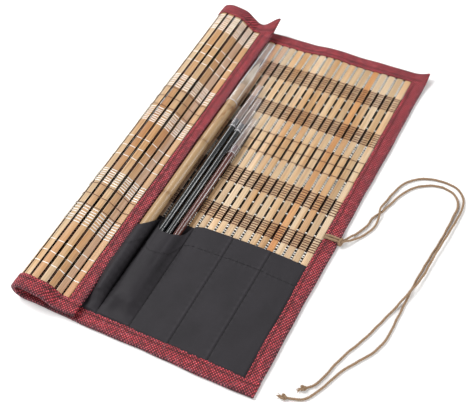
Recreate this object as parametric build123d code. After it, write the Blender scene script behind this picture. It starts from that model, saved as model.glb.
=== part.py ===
from build123d import *
import math
import os
from typing import NamedTuple

# Brush roll case: a bamboo slat mat with a woven binding, a fabric pocket
# panel, a tying cord and four capped brushes.  Millimetres and degrees.
#
# Frame: +X runs across the slats towards the corded edge, +Y runs along the
# slats towards the brush tips, +Z is up.  z = 0 is the underside of the flat
# part of the mat.  The left (-X) part of the mat is curled back over itself.

OVERCUT = 1.0          # how far a cutter runs past an open face

# mat
MAT_LEN = 300.0        # along the slats, outer edge to outer edge of binding
MAT_T = 3.1            # thickness over the binding
MID = MAT_T / 2        # height of the mid plane, where the threads hinge
PITCH = 6.5            # slat to slat
SLAT_W = 5.15
SLAT_T = 1.4
SLAT_END = 1.6         # slat end to outer face of the binding
FIRST_GAP = 0.6        # x of thread gap 0; the right edge binding starts at x = 0
HINGE_CLEAR = 0.2      # spare room on each side of a thread hinge

# binding
BIND_W = 11.0          # visible width
BIND_PLY = 0.6         # thickness of one ply
BIND_FOLD = 1.0        # thickness at the folded outer edge
BIND_INSIDE = (BIND_PLY, MAT_T - BIND_PLY)    # z range between the plies
FREE_BIND_W = 10.0     # last thread gap to the free edge of the flap
EDGE_BIND_GAP = 0.15   # between an edge binding and each end binding

# rigid strips, counted outwards from the flat base:
# (slats, turn at the hinge nearer the base)
ROLL_STRIPS = [(4, 28), (2, 40), (2, 42), (2, 34), (2, 26), (2, 24), (3, 21)]  # turn when rolled
CURL_STRIPS = [(1, 30), (1, 50), (1, 45), (1, 41), (2, 24), (2, 32), (1, -42)]  # turn at rest
CURL_NAMES = ["curl_1", "curl_2", "curl_3", "flap_1", "flap_2", "flap_3", "flap_4"]
BASE_SLATS = 8

# the base lies between these two thread gaps
BASE_RIGHT = FIRST_GAP - PITCH * sum(count for count, turn in ROLL_STRIPS)
BASE_LEFT = BASE_RIGHT - PITCH * BASE_SLATS

# pocket panel
POCKET_Y0 = BIND_W + 0.25
POCKET_BACK_Y1 = 101.0     # mouth edge of the lower ply
POCKET_MOUTH = 103.0       # mouth edge of the upper ply
POCKET_CLOSED = 1.25       # closed hem at the low-Y end
POCKET_INNER_Y0 = POCKET_Y0 + POCKET_CLOSED
FABRIC = 0.4
POCKET_Z0 = 2.35
POCKET_Z1 = 3.95
POCKET_INSIDE = (POCKET_Z0 + FABRIC, POCKET_Z1 - FABRIC)    # z range between the plies
POCKET_LEFT = -138.0
BASE_POCKET_RIGHT = -110.7
POCKET_RIGHT = -0.6
ROLL_POCKET_TRIM = 1.3     # base's right gap to the first roll pocket
SEAM_W = 0.8
SEAMS = [-55.0, -26.4]     # x of the seams between flat slots
BRUSH_ROOM = 0.15          # between a handle and the pocket arch over it
ARCH_STEPS = 10            # facets in each shoulder of an arch


# ------------------------------------------------------------- shared helpers
def block(x0, x1, y0, y1, z0, z1):
    return Pos((x0 + x1) / 2, (y0 + y1) / 2, (z0 + z1) / 2) * Box(x1 - x0, y1 - y0, z1 - z0)


def hinge_trim(turn, height):
    """Half the slot that lets two plates of this height fold by turn degrees."""
    return height * math.tan(math.radians(abs(turn) / 2)) + HINGE_CLEAR


def write(name, shapes):
    """Write one STEP file holding every solid of a list of shapes."""
    solids = [solid for shape in shapes for solid in shape.solids()]
    piece = solids[0] if len(solids) == 1 else Compound(children=solids)
    piece.label = name
    export_step(piece, f"parts/{name}.step")


# ---------------------------------------------------------- slats and binding
def slat_run(x_start, count, side):
    """Slats outwards from a thread gap; side is +1 to the right, -1 to the left."""
    slats = []
    for i in range(count):
        x = x_start + side * (i + 0.5) * PITCH
        slats.append(block(x - SLAT_W / 2, x + SLAT_W / 2, SLAT_END, MAT_LEN - SLAT_END,
                           MID - SLAT_T / 2, MID + SLAT_T / 2))
    return slats


def binding_cut(x0, x1, fold_left, fold_right):
    """x range of the hollow in a binding, open on each side that isn't folded."""
    return (x0 + BIND_FOLD if fold_left else x0 - OVERCUT,
            x1 - BIND_FOLD if fold_right else x1 + OVERCUT)


def end_bindings(x0, x1, fold_left=False, fold_right=False):
    """Folded binding over the slat ends, one piece at each end of the strip."""
    cut = binding_cut(x0, x1, fold_left, fold_right)
    y_far = MAT_LEN - BIND_W
    low = block(x0, x1, 0, BIND_W, 0, MAT_T)
    low -= block(*cut, BIND_FOLD, BIND_W + OVERCUT, *BIND_INSIDE)
    high = block(x0, x1, y_far, MAT_LEN, 0, MAT_T)
    high -= block(*cut, y_far - OVERCUT, MAT_LEN - BIND_FOLD, *BIND_INSIDE)
    return [low, high]


def edge_binding(x0, x1, fold_left=False, fold_right=False):
    """Folded binding along the outermost slat, between the two end bindings."""
    y0 = BIND_W + EDGE_BIND_GAP
    y1 = MAT_LEN - y0
    shell = block(x0, x1, y0, y1, 0, MAT_T)
    shell -= block(*binding_cut(x0, x1, fold_left, fold_right),
                   y0 - OVERCUT, y1 + OVERCUT, *BIND_INSIDE)
    return shell


# --------------------------------------------------------------------- pocket
def mouth_cut(x0, x1):
    """Cutter that ends the lower ply short of the mouth."""
    return block(x0 - OVERCUT, x1 + OVERCUT, POCKET_BACK_Y1, POCKET_MOUTH + OVERCUT,
                 POCKET_Z0 - OVERCUT, POCKET_Z1 - FABRIC)


def slot_cut(x0, x1):
    return block(x0, x1, POCKET_INNER_Y0, POCKET_MOUTH + OVERCUT, *POCKET_INSIDE)


def flat_pocket(x0, x1, left_end, right_end):
    """Flat two-ply panel; a slot stays open at a side that isn't an end."""
    body = block(x0, x1, POCKET_Y0, POCKET_MOUTH, POCKET_Z0, POCKET_Z1)
    body -= mouth_cut(x0, x1)
    edges = [x0 + SEAM_W if left_end else x0 - OVERCUT]
    for seam in SEAMS:
        if x0 < seam < x1:
            edges += [seam - SEAM_W / 2, seam + SEAM_W / 2]
    edges.append(x1 - SEAM_W if right_end else x1 + OVERCUT)
    for left, right in zip(edges[0::2], edges[1::2]):
        body -= slot_cut(left, right)
    return body


def arch(x_left, x_right, z_axis, radius, y0, y1, z_bottom):
    """Solid with straight walls and rounded shoulders, running along Y."""
    angles = [math.pi / 2 * i / ARCH_STEPS for i in range(ARCH_STEPS + 1)]
    left = [(x_left + radius - radius * math.cos(a), z_axis + radius * math.sin(a))
            for a in angles]
    right = [(x_right - radius + radius * math.sin(a), z_axis + radius * math.cos(a))
             for a in angles]
    if x_right - x_left <= 2 * radius + 1e-6:      # the shoulders meet in one crown point
        right = right[1:]
    outline = [(x_left, z_bottom)] + left + right + [(x_right, z_bottom)]
    face = Face(Wire.make_polygon([(x, 0, z) for x, z in outline], close=True))
    return Pos(0, y0, 0) * extrude(face, amount=y1 - y0, dir=(0, 1, 0))


def bulged_pocket(x0, x1, first, last):
    """Pocket slot that arches over the brushes from first to last."""
    left = first.x - first.handle_r - BRUSH_ROOM
    right = last.x + last.handle_r + BRUSH_ROOM
    radius = first.handle_r + BRUSH_ROOM
    body = block(x0, x1, POCKET_Y0, POCKET_MOUTH, POCKET_Z0, POCKET_Z1)
    body += arch(left - FABRIC, right + FABRIC, first.z, radius + FABRIC,
                 POCKET_Y0, POCKET_MOUTH, POCKET_Z0)
    body -= slot_cut(x0 + SEAM_W, x1 - SEAM_W)
    body -= arch(left, right, first.z, radius,
                 POCKET_INNER_Y0, POCKET_MOUTH + OVERCUT, POCKET_Z0 + FABRIC)
    body -= mouth_cut(x0, x1)
    return body


# -------------------------------------------------------------------- brushes
class Brush(NamedTuple):
    x: float               # of the axis
    z: float
    handle_r: float
    tuft_r: float
    cap_r: float           # over the lip
    handle_end: float      # y stations from here on
    tuft_tip: float
    cap_base: float
    cap_tip: float


BRUSHES = {
    "natural": Brush(-114.8, 7.75, 4.0, 3.1, 4.5, 219.0, 259.0, 210.5, 281.5),
    "black_a": Brush(-103.3, 6.15, 2.55, 1.9, 2.95, 198.0, 222.0, 189.5, 237.5),
    "black_b": Brush(-97.3, 6.1, 2.4, 1.7, 2.8, 195.0, 214.0, 186.5, 225.0),
    "brown": Brush(-91.3, 6.1, 2.5, 1.5, 2.9, 174.0, 192.0, 166.0, 205.0),
}
BUTT_Y = 14.0
BUTT_CHAMFER = 0.5
END_CHAMFER_R = 0.4    # chamfer at the tuft end of the handle
END_CHAMFER_Y = 0.6
ROOT_INSET = 0.3       # tuft root radius below the tuft radius
ROOT_DEPTH = 6.0       # socket depth in the handle
ROOT_CLEAR = 0.05
ROOT_STANDOFF = 0.1    # straight root beyond the handle end
TUFT_POINT_R = 0.12
# tuft outline: (fraction of tuft radius, fraction of exposed length)
TUFT_OUTLINE = [(0.97, 0.12), (1.0, 0.35), (0.72, 0.65), (0.33, 0.88)]
RUN = 0.1              # running clearance between a cap and its handle
CAP_WALL = 0.3
CAP_LIP = 1.0          # full-radius length of the lip
CAP_LIP_END = 1.4      # cap base to the end of the lip's slope
CAP_STRAIGHT = 2.0     # straight bore beyond the handle end
CAP_TAPER = 0.72       # bore radius at the tip over bore radius at the base
CAP_TIP_T = 0.8        # thickness on the axis
# cap tip outlines: (inwards from the wall's radius, back from the cap tip)
CAP_TIP_OUTER = [(0, 2.2), (0.6, 0.6), (1.3, 0)]
CAP_TIP_INNER = [(1.2, 0.9), (0.4, 2.2)]


def turned(profile, brush):
    """Solid of revolution about the brush axis; profile is (radius, y)."""
    face = Face(Wire.make_polygon([(r, y, 0) for r, y in profile], close=True))
    return Pos(brush.x, 0, brush.z) * revolve(face, axis=Axis.Y)


def handle(brush):
    radius, end = brush.handle_r, brush.handle_end
    socket_r = brush.tuft_r - ROOT_INSET + ROOT_CLEAR
    return turned([(0, BUTT_Y), (radius - BUTT_CHAMFER, BUTT_Y),
                   (radius, BUTT_Y + BUTT_CHAMFER), (radius, end - END_CHAMFER_Y),
                   (radius - END_CHAMFER_R, end), (socket_r, end),
                   (socket_r, end - ROOT_DEPTH), (0, end - ROOT_DEPTH)], brush)


def tuft(brush):
    end, tip = brush.handle_end, brush.tuft_tip
    root_r = brush.tuft_r - ROOT_INSET
    root_y = end - ROOT_DEPTH + ROOT_CLEAR
    hair = [(brush.tuft_r * r, end + y * (tip - end)) for r, y in TUFT_OUTLINE]
    return turned([(0, root_y), (root_r, root_y), (root_r, end + ROOT_STANDOFF), *hair,
                   (TUFT_POINT_R, tip), (0, tip)], brush)


def cap(brush):
    base, tip = brush.cap_base, brush.cap_tip
    bore = brush.handle_r + RUN
    tip_bore = bore * CAP_TAPER
    taper_y = brush.handle_end + CAP_STRAIGHT
    outer = [(tip_bore + CAP_WALL - r, tip - y) for r, y in CAP_TIP_OUTER]
    inner = [(tip_bore - r, tip - y) for r, y in CAP_TIP_INNER]
    return turned([(bore, base), (brush.cap_r, base), (brush.cap_r, base + CAP_LIP),
                   (bore + CAP_WALL, base + CAP_LIP_END), (bore + CAP_WALL, taper_y),
                   *outer, (0, tip), (0, tip - CAP_TIP_T), *inner, (bore, taper_y)], brush)


# ----------------------------------------------------------------------- cord
CORD_R = 1.0
CORD_Z = CORD_R + 0.2      # axis height where the cord lies flat
KNOT_R = 1.7               # ball at each cord end
KNOT_Z = KNOT_R + 0.22
KNOT_AHEAD = 0.9           # knot centre beyond the end of the cord
LIFT = 2 * CORD_R + 0.6    # rise of strand B where it crosses strand A
LIFT_NEAR = 2.6            # plan distance within which the lift is full
LIFT_FADE = 3.0            # further distance over which it fades out
SMOOTH = 3                 # samples averaged on each side
SAMPLE = 3.0               # sample spacing along a strand
CROSSING_SAMPLE = 2.0      # sample spacing of the strand being crossed

# (x, y) along each tail, from the loop to the knot
STRAND_A = [
    (14.6, 129.4), (21.7, 147.1), (23.4, 159.9), (25.9, 173.2), (28.9, 187.1), (34.3, 197.6),
    (43.8, 204.1), (55.9, 206.2), (67.4, 203.9), (74.0, 196.0), (75.8, 186.1), (75.0, 169.3),
    (72.7, 145.0), (71.5, 124.9), (68.5, 110.0), (65.7, 100.6), (61.0, 85.3), (56.0, 69.0),
    (49.7, 53.5), (45.8, 41.6), (43.6, 32.5), (40.6, 25.0), (36.2, 20.5)]
STRAND_B = [
    (14.6, 126.6), (19.5, 135.0), (26.3, 146.6), (28.6, 159.0), (29.6, 172.6), (34.6, 186.3),
    (42.2, 195.8), (53.9, 201.1), (65.2, 199.3), (71.8, 191.6), (72.6, 180.4), (71.9, 158.6),
    (70.0, 138.9), (68.6, 118.7), (68.4, 101.1), (68.2, 87.9), (67.8, 73.5), (64.5, 61.5),
    (57.7, 50.3), (51.5, 40.1), (47.2, 29.0), (41.7, 17.1), (36.4, 12.4), (28.2, 9.9)]

# loop round the right edge binding
LOOP_W = 4.2
LOOP_Y = (128.0 - LOOP_W / 2, 128.0 + LOOP_W / 2)
LOOP_T = 1.7               # top and outer leg
LOOP_CLEAR = 0.1           # to the binding
LOOP_X0 = 0.05
LOOP_X1 = BIND_W + LOOP_CLEAR + LOOP_T
LOOP_LEG_X1 = 1.15         # outer face of the leg through the mat
LOOP_Z0 = 0.02
LOOP_Z1 = MAT_T + LOOP_CLEAR + LOOP_T
BAR_R = 1.5                # bar across the top of the loop
BAR_LEN = LOOP_W + 1.6
NOTCH_CLEAR = 0.25         # round the loop where it passes the binding
NOTCH_X0 = -0.1
RECESS_X0 = 0.5


def distance(polyline, point):
    """Shortest plan distance from a point to a polyline."""
    px, py = point
    best = math.inf
    for (ax, ay), (bx, by) in zip(polyline[:-1], polyline[1:]):
        dx, dy = bx - ax, by - ay
        t = ((px - ax) * dx + (py - ay) * dy) / (dx * dx + dy * dy)
        t = max(0.0, min(1.0, t))
        best = min(best, math.hypot(px - ax - t * dx, py - ay - t * dy))
    return best


def catmull_rom(a, b, c, d, t):
    """One coordinate of the curve from b to c."""
    return 0.5 * (2 * b + (c - a) * t + (2 * a - 5 * b + 4 * c - d) * t * t
                  + (3 * b - a - 3 * c + d) * t ** 3)


def resample(points, step):
    """Points along a Catmull-Rom curve through the given plan points."""
    padded = [points[0]] + points + [points[-1]]
    samples = []
    for quad in zip(padded, padded[1:], padded[2:], padded[3:]):
        count = max(1, round(math.dist(quad[1], quad[2]) / step))
        for j in range(count):
            samples.append(tuple(catmull_rom(*axis, j / count) for axis in zip(*quad)))
    samples.append(points[-1])
    return samples


def strand_heights(samples, crossed):
    """Axis heights that lift the cord over the crossed strand, smoothed along it."""
    polyline = resample(crossed, CROSSING_SAMPLE)
    raw = []
    for point in samples:
        fade = 1 - (distance(polyline, point) - LIFT_NEAR) / LIFT_FADE
        raw.append(CORD_Z + LIFT * max(0.0, min(1.0, fade)))
    heights = []
    for i, height in enumerate(raw):
        window = raw[max(0, i - SMOOTH):i + SMOOTH + 1]
        heights.append(max(height, sum(window) / len(window)))
    return heights


def strand(points, stride, crossed=None):
    """Cord tail and its knot; the spline takes about every stride-th sample."""
    samples = resample(points, SAMPLE)
    heights = strand_heights(samples, crossed) if crossed else [CORD_Z] * len(samples)
    path = [(x, y, z) for (x, y), z in zip(samples, heights)]
    last = len(path) - 1
    spans = max(2, round(last / stride))
    wire = Spline(*[path[round(i * last / spans)] for i in range(spans + 1)])
    start = Plane(origin=wire @ 0, z_dir=wire % 0)
    tube = sweep(start * Circle(CORD_R), path=wire)
    end = wire @ 1
    ahead = wire % 1
    knot = Pos(end.X + KNOT_AHEAD * ahead.X, end.Y + KNOT_AHEAD * ahead.Y,
               KNOT_Z) * Sphere(KNOT_R)
    return tube + knot


def cord_loop():
    """Loop down through the mat, under the edge binding and back over it."""
    loop = block(LOOP_X0, LOOP_X1, *LOOP_Y, LOOP_Z1 - LOOP_T, LOOP_Z1)
    loop += block(LOOP_X0, LOOP_LEG_X1, *LOOP_Y, LOOP_Z0, LOOP_Z1)
    loop += block(LOOP_X1 - LOOP_T, LOOP_X1, *LOOP_Y, LOOP_Z0, LOOP_Z1)
    loop += block(LOOP_X0, LOOP_X1, *LOOP_Y, LOOP_Z0, BIND_PLY - LOOP_CLEAR)
    loop += Pos(BIND_W, sum(LOOP_Y) / 2, LOOP_Z1) * Rot(90, 0, 0) * Cylinder(BAR_R, BAR_LEN)
    return loop


def right_edge_binding():
    """Edge binding notched for the leg of the loop and recessed under it."""
    notch_y = (LOOP_Y[0] - NOTCH_CLEAR, LOOP_Y[1] + NOTCH_CLEAR)
    binding = edge_binding(0.0, BIND_W, fold_right=True)
    binding -= block(NOTCH_X0, LOOP_LEG_X1 + NOTCH_CLEAR, *notch_y, -OVERCUT, MAT_T + OVERCUT)
    binding -= block(RECESS_X0, BIND_W + OVERCUT, *notch_y, -OVERCUT, BIND_PLY)
    return binding


# ------------------------------------------------------------------- assembly
def next_turns(strips):
    """Turn at the outer hinge of each strip; the last strip has none."""
    return [turn for count, turn in strips[1:]] + [None]


def write_base():
    """The flat base under the flap."""
    write("slats_base", slat_run(BASE_RIGHT, BASE_SLATS, -1))
    write("binding_base", end_bindings(BASE_LEFT + hinge_trim(CURL_STRIPS[0][1], MID),
                                       BASE_RIGHT - hinge_trim(ROLL_STRIPS[0][1], MID)))
    natural = BRUSHES["natural"]
    write("pocket_base", [bulged_pocket(POCKET_LEFT, BASE_POCKET_RIGHT, natural, natural)])


def write_roll():
    """The strips right of the base, flat at rest, which roll over the flap."""
    pocket_h = POCKET_Z1 - MID
    x = BASE_RIGHT
    for i, ((count, turn), outer) in enumerate(zip(ROLL_STRIPS, next_turns(ROLL_STRIPS)), 1):
        last = outer is None
        x_end = x + count * PITCH
        # one more slat hides inside the edge binding
        write(f"slats_roll_{i}", slat_run(x, count + last, +1))
        bind_end = BIND_W if last else x_end - hinge_trim(outer, MID)
        write(f"binding_roll_{i}",
              end_bindings(x + hinge_trim(turn, MID), bind_end, fold_right=last))
        x0 = x + (ROLL_POCKET_TRIM if i == 1 else hinge_trim(turn, pocket_h))
        x1 = POCKET_RIGHT if last else x_end - hinge_trim(outer, pocket_h)
        if i == 1:
            panel = bulged_pocket(x0, x1, BRUSHES["black_a"], BRUSHES["brown"])
        else:
            panel = flat_pocket(x0, x1, left_end=i == 2, right_end=last)
        write(f"pocket_roll_{i}", [panel])
        x = x_end
    write("edge_binding_right", [right_edge_binding()])


def write_curl():
    """The strips left of the base, curled back over it at rest."""
    x, z, angle = BASE_LEFT, MID, 180.0
    for name, (count, turn), outer in zip(CURL_NAMES, CURL_STRIPS, next_turns(CURL_STRIPS)):
        last = outer is None
        angle -= turn
        place = Pos(x, 0, z) * Rot(0, 180.0 - angle, 0) * Pos(0, 0, -MID)
        length = count * PITCH + (FREE_BIND_W if last else 0)
        # one more slat hides inside the edge binding
        write(f"slats_{name}", [place * slat for slat in slat_run(0, count + last, -1)])
        bind_end = -length if last else hinge_trim(outer, MID) - length
        bindings = end_bindings(bind_end, -hinge_trim(turn, MID), fold_left=last)
        write(f"binding_{name}", [place * binding for binding in bindings])
        if last:
            edge = edge_binding(-length, -count * PITCH - FIRST_GAP, fold_left=True)
            write("edge_binding_left", [place * edge])
        x += length * math.cos(math.radians(angle))
        z += length * math.sin(math.radians(angle))


os.makedirs("parts", exist_ok=True)
write_base()
write_roll()
write_curl()
for name, brush in BRUSHES.items():
    write(f"handle_{name}", [handle(brush)])
    write(f"tuft_{name}", [tuft(brush)])
    write(f"cap_{name}", [cap(brush)])
write("cord_loop", [cord_loop()])
write("cord_tails", [strand(STRAND_A, stride=8), strand(STRAND_B, stride=7, crossed=STRAND_A)])
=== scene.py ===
"""Rolled-up bamboo brush mat with a cloth pocket, four capped brushes and a tying cord.

The mat lies on the table with its slats along Y, from the near end (y = 0) to the far end.
Its left part curls up and folds over as a flap; the right edge (x about 11 mm) carries the cord.
Mat coordinates are s (across the slats, along X where the mat is flat), y, and w (height over
the mid plane of the mat). Lengths are in mm; Mesh.build turns them into metres.
"""
import math
import random
from collections import namedtuple

import bpy
import numpy as np
from mathutils import Matrix, Vector


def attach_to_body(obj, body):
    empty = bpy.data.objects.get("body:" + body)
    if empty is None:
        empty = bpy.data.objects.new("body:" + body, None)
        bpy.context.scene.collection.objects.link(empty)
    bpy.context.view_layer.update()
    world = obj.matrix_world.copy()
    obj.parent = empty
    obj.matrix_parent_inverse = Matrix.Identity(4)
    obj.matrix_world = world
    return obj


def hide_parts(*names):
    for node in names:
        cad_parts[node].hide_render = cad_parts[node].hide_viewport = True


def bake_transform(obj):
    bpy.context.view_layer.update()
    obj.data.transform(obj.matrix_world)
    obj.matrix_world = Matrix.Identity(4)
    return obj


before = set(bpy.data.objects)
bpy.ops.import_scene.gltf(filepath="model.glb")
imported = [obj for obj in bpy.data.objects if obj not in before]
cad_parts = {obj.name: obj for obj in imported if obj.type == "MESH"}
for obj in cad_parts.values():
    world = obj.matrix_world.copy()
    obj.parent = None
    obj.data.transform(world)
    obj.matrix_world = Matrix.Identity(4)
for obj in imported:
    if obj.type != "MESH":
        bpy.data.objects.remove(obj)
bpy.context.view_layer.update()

rng = np.random.default_rng(11)
random.seed(11)
MM = 0.001

# ------------------------------------------------------------------ layout
PITCH = 6.5                # from slat to slat
HALF_SLAT = PITCH * 0.366
GAP = 0.6                  # s of the gap at the right end of the last hinged strip
MID = 1.55                 # height of the mat's mid plane over the table
LENGTH = 300.0             # of the mat, along Y
BASE_LEFT = GAP - 25 * PITCH
TAPE_WIDTH = 11.0          # cloth edging of both ends and of the corded edge
FREE_TAPE_WIDTH = 10.0     # cloth edging of the free edge
SLAT_BEND = 1.3            # half length of each bend of the slats
TAPE_BEND = 2.8            # the cloth edging bends in longer curves
CORD_Y = 128.0             # where the cord goes round the right edge

# curled strips going outwards from the flat part: name, slats, turn in degrees
CURL = [("curl_1", 1, 30), ("curl_2", 1, 50), ("curl_3", 1, 45), ("flap_1", 1, 41),
        ("flap_2", 2, 24), ("flap_3", 2, 32), ("flap_4", 1, -42)]
# flat strips from left to right: name, slats
FLAT = [("base", 8), ("roll_1", 4), ("roll_2", 2), ("roll_3", 2), ("roll_4", 2), ("roll_5", 2),
        ("roll_6", 2), ("roll_7", 3)]

Strip = namedtuple("Strip", "name right centres")
Hinge = namedtuple("Hinge", "s x z before after")      # angles of the mat on both sides

strips, hinges = [], []                                # strips run from left to right
edge, hinge_x, hinge_z, heading = BASE_LEFT, BASE_LEFT, MID, 180.0
for name, count, turn in CURL:
    strips.insert(0, Strip(name, edge, [edge - (i + 0.5) * PITCH for i in range(count)]))
    hinges.append(Hinge(edge, hinge_x, hinge_z, math.radians(heading),
                        math.radians(heading - turn)))
    heading -= turn
    hinge_x += count * PITCH * math.cos(math.radians(heading))
    hinge_z += count * PITCH * math.sin(math.radians(heading))
    edge -= count * PITCH
FREE_EDGE = edge - FREE_TAPE_WIDTH

edge = BASE_LEFT
for name, count in FLAT:
    strips.append(Strip(name, edge + count * PITCH,
                        [edge + (i + 0.5) * PITCH for i in range(count)]))
    edge += count * PITCH
NAMES = [strip.name for strip in strips]
CUTS = [strip.centres[len(strip.centres) // 2] for strip in strips]   # mid-slat cuts
LAST_JOINT = len(strips) - 2


def unit(value):
    return np.clip(value, 0, 1)


def ease(value):
    t = unit(value)
    return t * t * (3 - 2 * t)


def bell(distance, width):
    return np.exp(-(distance / width) ** 2)


def lift(s, y):
    """Gentle waves of the far end: one left of the brushes and one at the right corner."""
    wave = 1.5 * ease((s + 85.0) / 13.0) * ease((-36.0 - s) / 32.0)
    corner = unit((s + 3.0) / 14.0) ** 2 * unit((y - 276.0) / 24.0) ** 2
    return ease((y - 238.0) / 62.0) * wave + 5.0 * corner


def place(s, y, w, bend=SLAT_BEND):
    """Mat coordinates to points at rest; bend is the half length of each bend."""
    s, y, w = np.broadcast_arrays(*(np.asarray(value, float) for value in (s, y, w)))
    # the far corner of the flap bends up and out
    corner = ease(unit((-s - 217.5) / 12.9) * unit((y - 284.0) / 16.0))
    s, y, w = s - 2.5 * corner, y + 3.0 * corner, w - 9.5 * corner
    x = s.copy()
    z = np.full_like(s, MID)
    normal_x = np.zeros_like(s)
    normal_z = np.ones_like(s)
    for hinge in hinges:
        cos0, sin0 = math.cos(hinge.before), math.sin(hinge.before)
        cos1, sin1 = math.cos(hinge.after), math.sin(hinge.after)
        beyond = s <= hinge.s + bend
        out = hinge.s - s[beyond]
        point_x = hinge.x + out * cos1
        point_z = hinge.z + out * sin1
        along_x, along_z = np.full_like(out, cos1), np.full_like(out, sin1)
        # a quadratic curve rounds the bend
        near = out < bend
        t = (out[near] + bend) / (2 * bend)
        start_x, start_z = hinge.x - bend * cos0, hinge.z - bend * sin0
        end_x, end_z = hinge.x + bend * cos1, hinge.z + bend * sin1
        point_x[near] = (1 - t) ** 2 * start_x + 2 * t * (1 - t) * hinge.x + t * t * end_x
        point_z[near] = (1 - t) ** 2 * start_z + 2 * t * (1 - t) * hinge.z + t * t * end_z
        slope_x = (1 - t) * (hinge.x - start_x) + t * (end_x - hinge.x)
        slope_z = (1 - t) * (hinge.z - start_z) + t * (end_z - hinge.z)
        size = np.hypot(slope_x, slope_z)
        along_x[near], along_z[near] = slope_x / size, slope_z / size
        x[beyond], z[beyond] = point_x, point_z
        normal_x[beyond], normal_z[beyond] = along_z, -along_x
    loose = 0.90 + 0.22 * np.clip(y / LENGTH, -0.1, 1.1)     # the curl opens to the far end
    height = z + normal_z * w + (loose - 1) * np.maximum(z - MID, 0)
    return np.stack([x + normal_x * w, y, height + lift(s, y)], -1)


# ------------------------------------------------------------ mesh helpers
class Mesh:
    """Gathers points (mm), faces and point tints, and builds one object."""

    def __init__(self):
        self.points, self.tints, self.count = [], [], 0
        self.quads = [np.zeros((0, 4), int)]
        self.tris = [np.zeros((0, 3), int)]

    def add(self, points, quads, tris=None, tint=1.0):
        """tint is anything that broadcasts to the shape of points."""
        points = np.asarray(points, float)
        self.points.append(points.reshape(-1, 3))
        self.tints.append(np.broadcast_to(tint, points.shape).reshape(-1, 3))
        self.quads.append(quads + self.count)
        if tris is not None:
            self.tris.append(tris + self.count)
        self.count += len(self.points[-1])

    def build(self, name, material, angle=None):
        """angle: faces that meet more steeply than this (degrees) keep a sharp edge."""
        quads, tris = np.concatenate(self.quads), np.concatenate(self.tris)
        mesh = bpy.data.meshes.new(name)
        mesh.vertices.add(self.count)
        points = np.concatenate(self.points) * MM
        mesh.vertices.foreach_set("co", points.astype(np.float32).ravel())
        loops = np.concatenate([quads.ravel(), tris.ravel()])
        mesh.loops.add(len(loops))
        mesh.loops.foreach_set("vertex_index", loops.astype(np.int32))
        starts = np.concatenate([np.arange(len(quads)) * 4,
                                 len(quads) * 4 + np.arange(len(tris)) * 3])
        mesh.polygons.add(len(starts))
        mesh.polygons.foreach_set("loop_start", starts.astype(np.int32))
        mesh.update(calc_edges=True)
        mesh.validate()
        rgba = np.concatenate([np.concatenate(self.tints), np.ones((self.count, 1))], 1)
        tint = mesh.attributes.new("tint", "FLOAT_COLOR", "POINT")
        tint.data.foreach_set("color", rgba.astype(np.float32).ravel())
        mesh.polygons.foreach_set("use_smooth", np.full(len(mesh.polygons), True))
        if angle:
            mesh.set_sharp_from_angle(angle=math.radians(angle))
        mesh.update()
        obj = bpy.data.objects.new(name, mesh)
        bpy.context.scene.collection.objects.link(obj)
        mesh.materials.append(material)
        return obj


def grid(rows, columns, closed=False, flip=False):
    """Quads of a vertex grid; closed joins the last column to the first."""
    row, column = np.meshgrid(np.arange(rows - 1), np.arange(columns if closed else columns - 1),
                              indexing="ij")
    following = (column + 1) % columns
    quads = np.stack([row * columns + column, (row + 1) * columns + column,
                      (row + 1) * columns + following, row * columns + following], -1)
    quads = quads.reshape(-1, 4)
    return quads[:, ::-1] if flip else quads


def fan(first, count, flip=False):
    i = np.arange(1, count - 1)
    tris = np.stack([np.zeros_like(i), i, i + 1], -1) + first
    return tris[:, ::-1] if flip else tris


def loft(mesh, rings, tint=1.0, flip=False, cap_flip=False, start=True, end=True):
    """Skin over closed rings (ring, point, xyz), with a cap at the start and the end."""
    count, size = rings.shape[:2]
    caps = []
    if start:
        caps.append(fan(0, size, cap_flip))
    if end:
        caps.append(fan((count - 1) * size, size, not cap_flip))
    mesh.add(rings, grid(count, size, closed=True, flip=flip),
             np.concatenate(caps) if caps else None, tint)


def ring_angles(count):
    return np.arange(count) / count * 2 * math.pi


def path_normals(path):
    """Two normals along a path by parallel transport."""
    tangent = np.gradient(path, axis=0)
    tangent /= np.linalg.norm(tangent, axis=1)[:, None]
    normal = np.zeros_like(path)
    guide = np.array([0, 0, 1.0]) if abs(tangent[0, 2]) < 0.9 else np.array([1.0, 0, 0])
    for i, along in enumerate(tangent):
        across = guide - along * (guide @ along)
        normal[i] = across / max(np.linalg.norm(across), 1e-12)
        guide = normal[i]
    return normal, np.cross(tangent, normal)


def path_lengths(path):
    steps = np.linalg.norm(np.diff(path, axis=0), axis=1)
    return np.concatenate([[0], np.cumsum(steps)])


def tube(mesh, path, radius, sides, tint=1.0, capped=True):
    """Round tube along path; radius is a number or one per point."""
    normal, side = path_normals(path)
    radius = np.broadcast_to(radius, (len(path),))[:, None, None]
    angles = ring_angles(sides)[None, :, None]
    rings = (path[:, None] + normal[:, None] * (np.cos(angles) * radius)
             + side[:, None] * (np.sin(angles) * radius))
    loft(mesh, rings, tint, cap_flip=True, start=capped, end=capped)


def catmull_rom(p0, p1, p2, p3, t):
    return 0.5 * (2 * p1 + (p2 - p0) * t + (2 * p0 - 5 * p1 + 4 * p2 - p3) * t ** 2
                  + (3 * p1 - p0 - 3 * p2 + p3) * t ** 3)


def smooth_path(points, step):
    """Catmull-Rom curve through points, sampled at about step."""
    points = np.asarray(points, float)
    ends = 2 * points[0] - points[1], 2 * points[-1] - points[-2]
    knots = np.concatenate([[ends[0]], points, [ends[1]]])
    path = []
    for i in range(1, len(knots) - 2):
        count = max(1, int(round(np.linalg.norm(knots[i + 1] - knots[i]) / step)))
        path += [catmull_rom(*knots[i - 1:i + 3], j / count) for j in range(count)]
    path.append(points[-1])
    return np.array(path)


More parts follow.
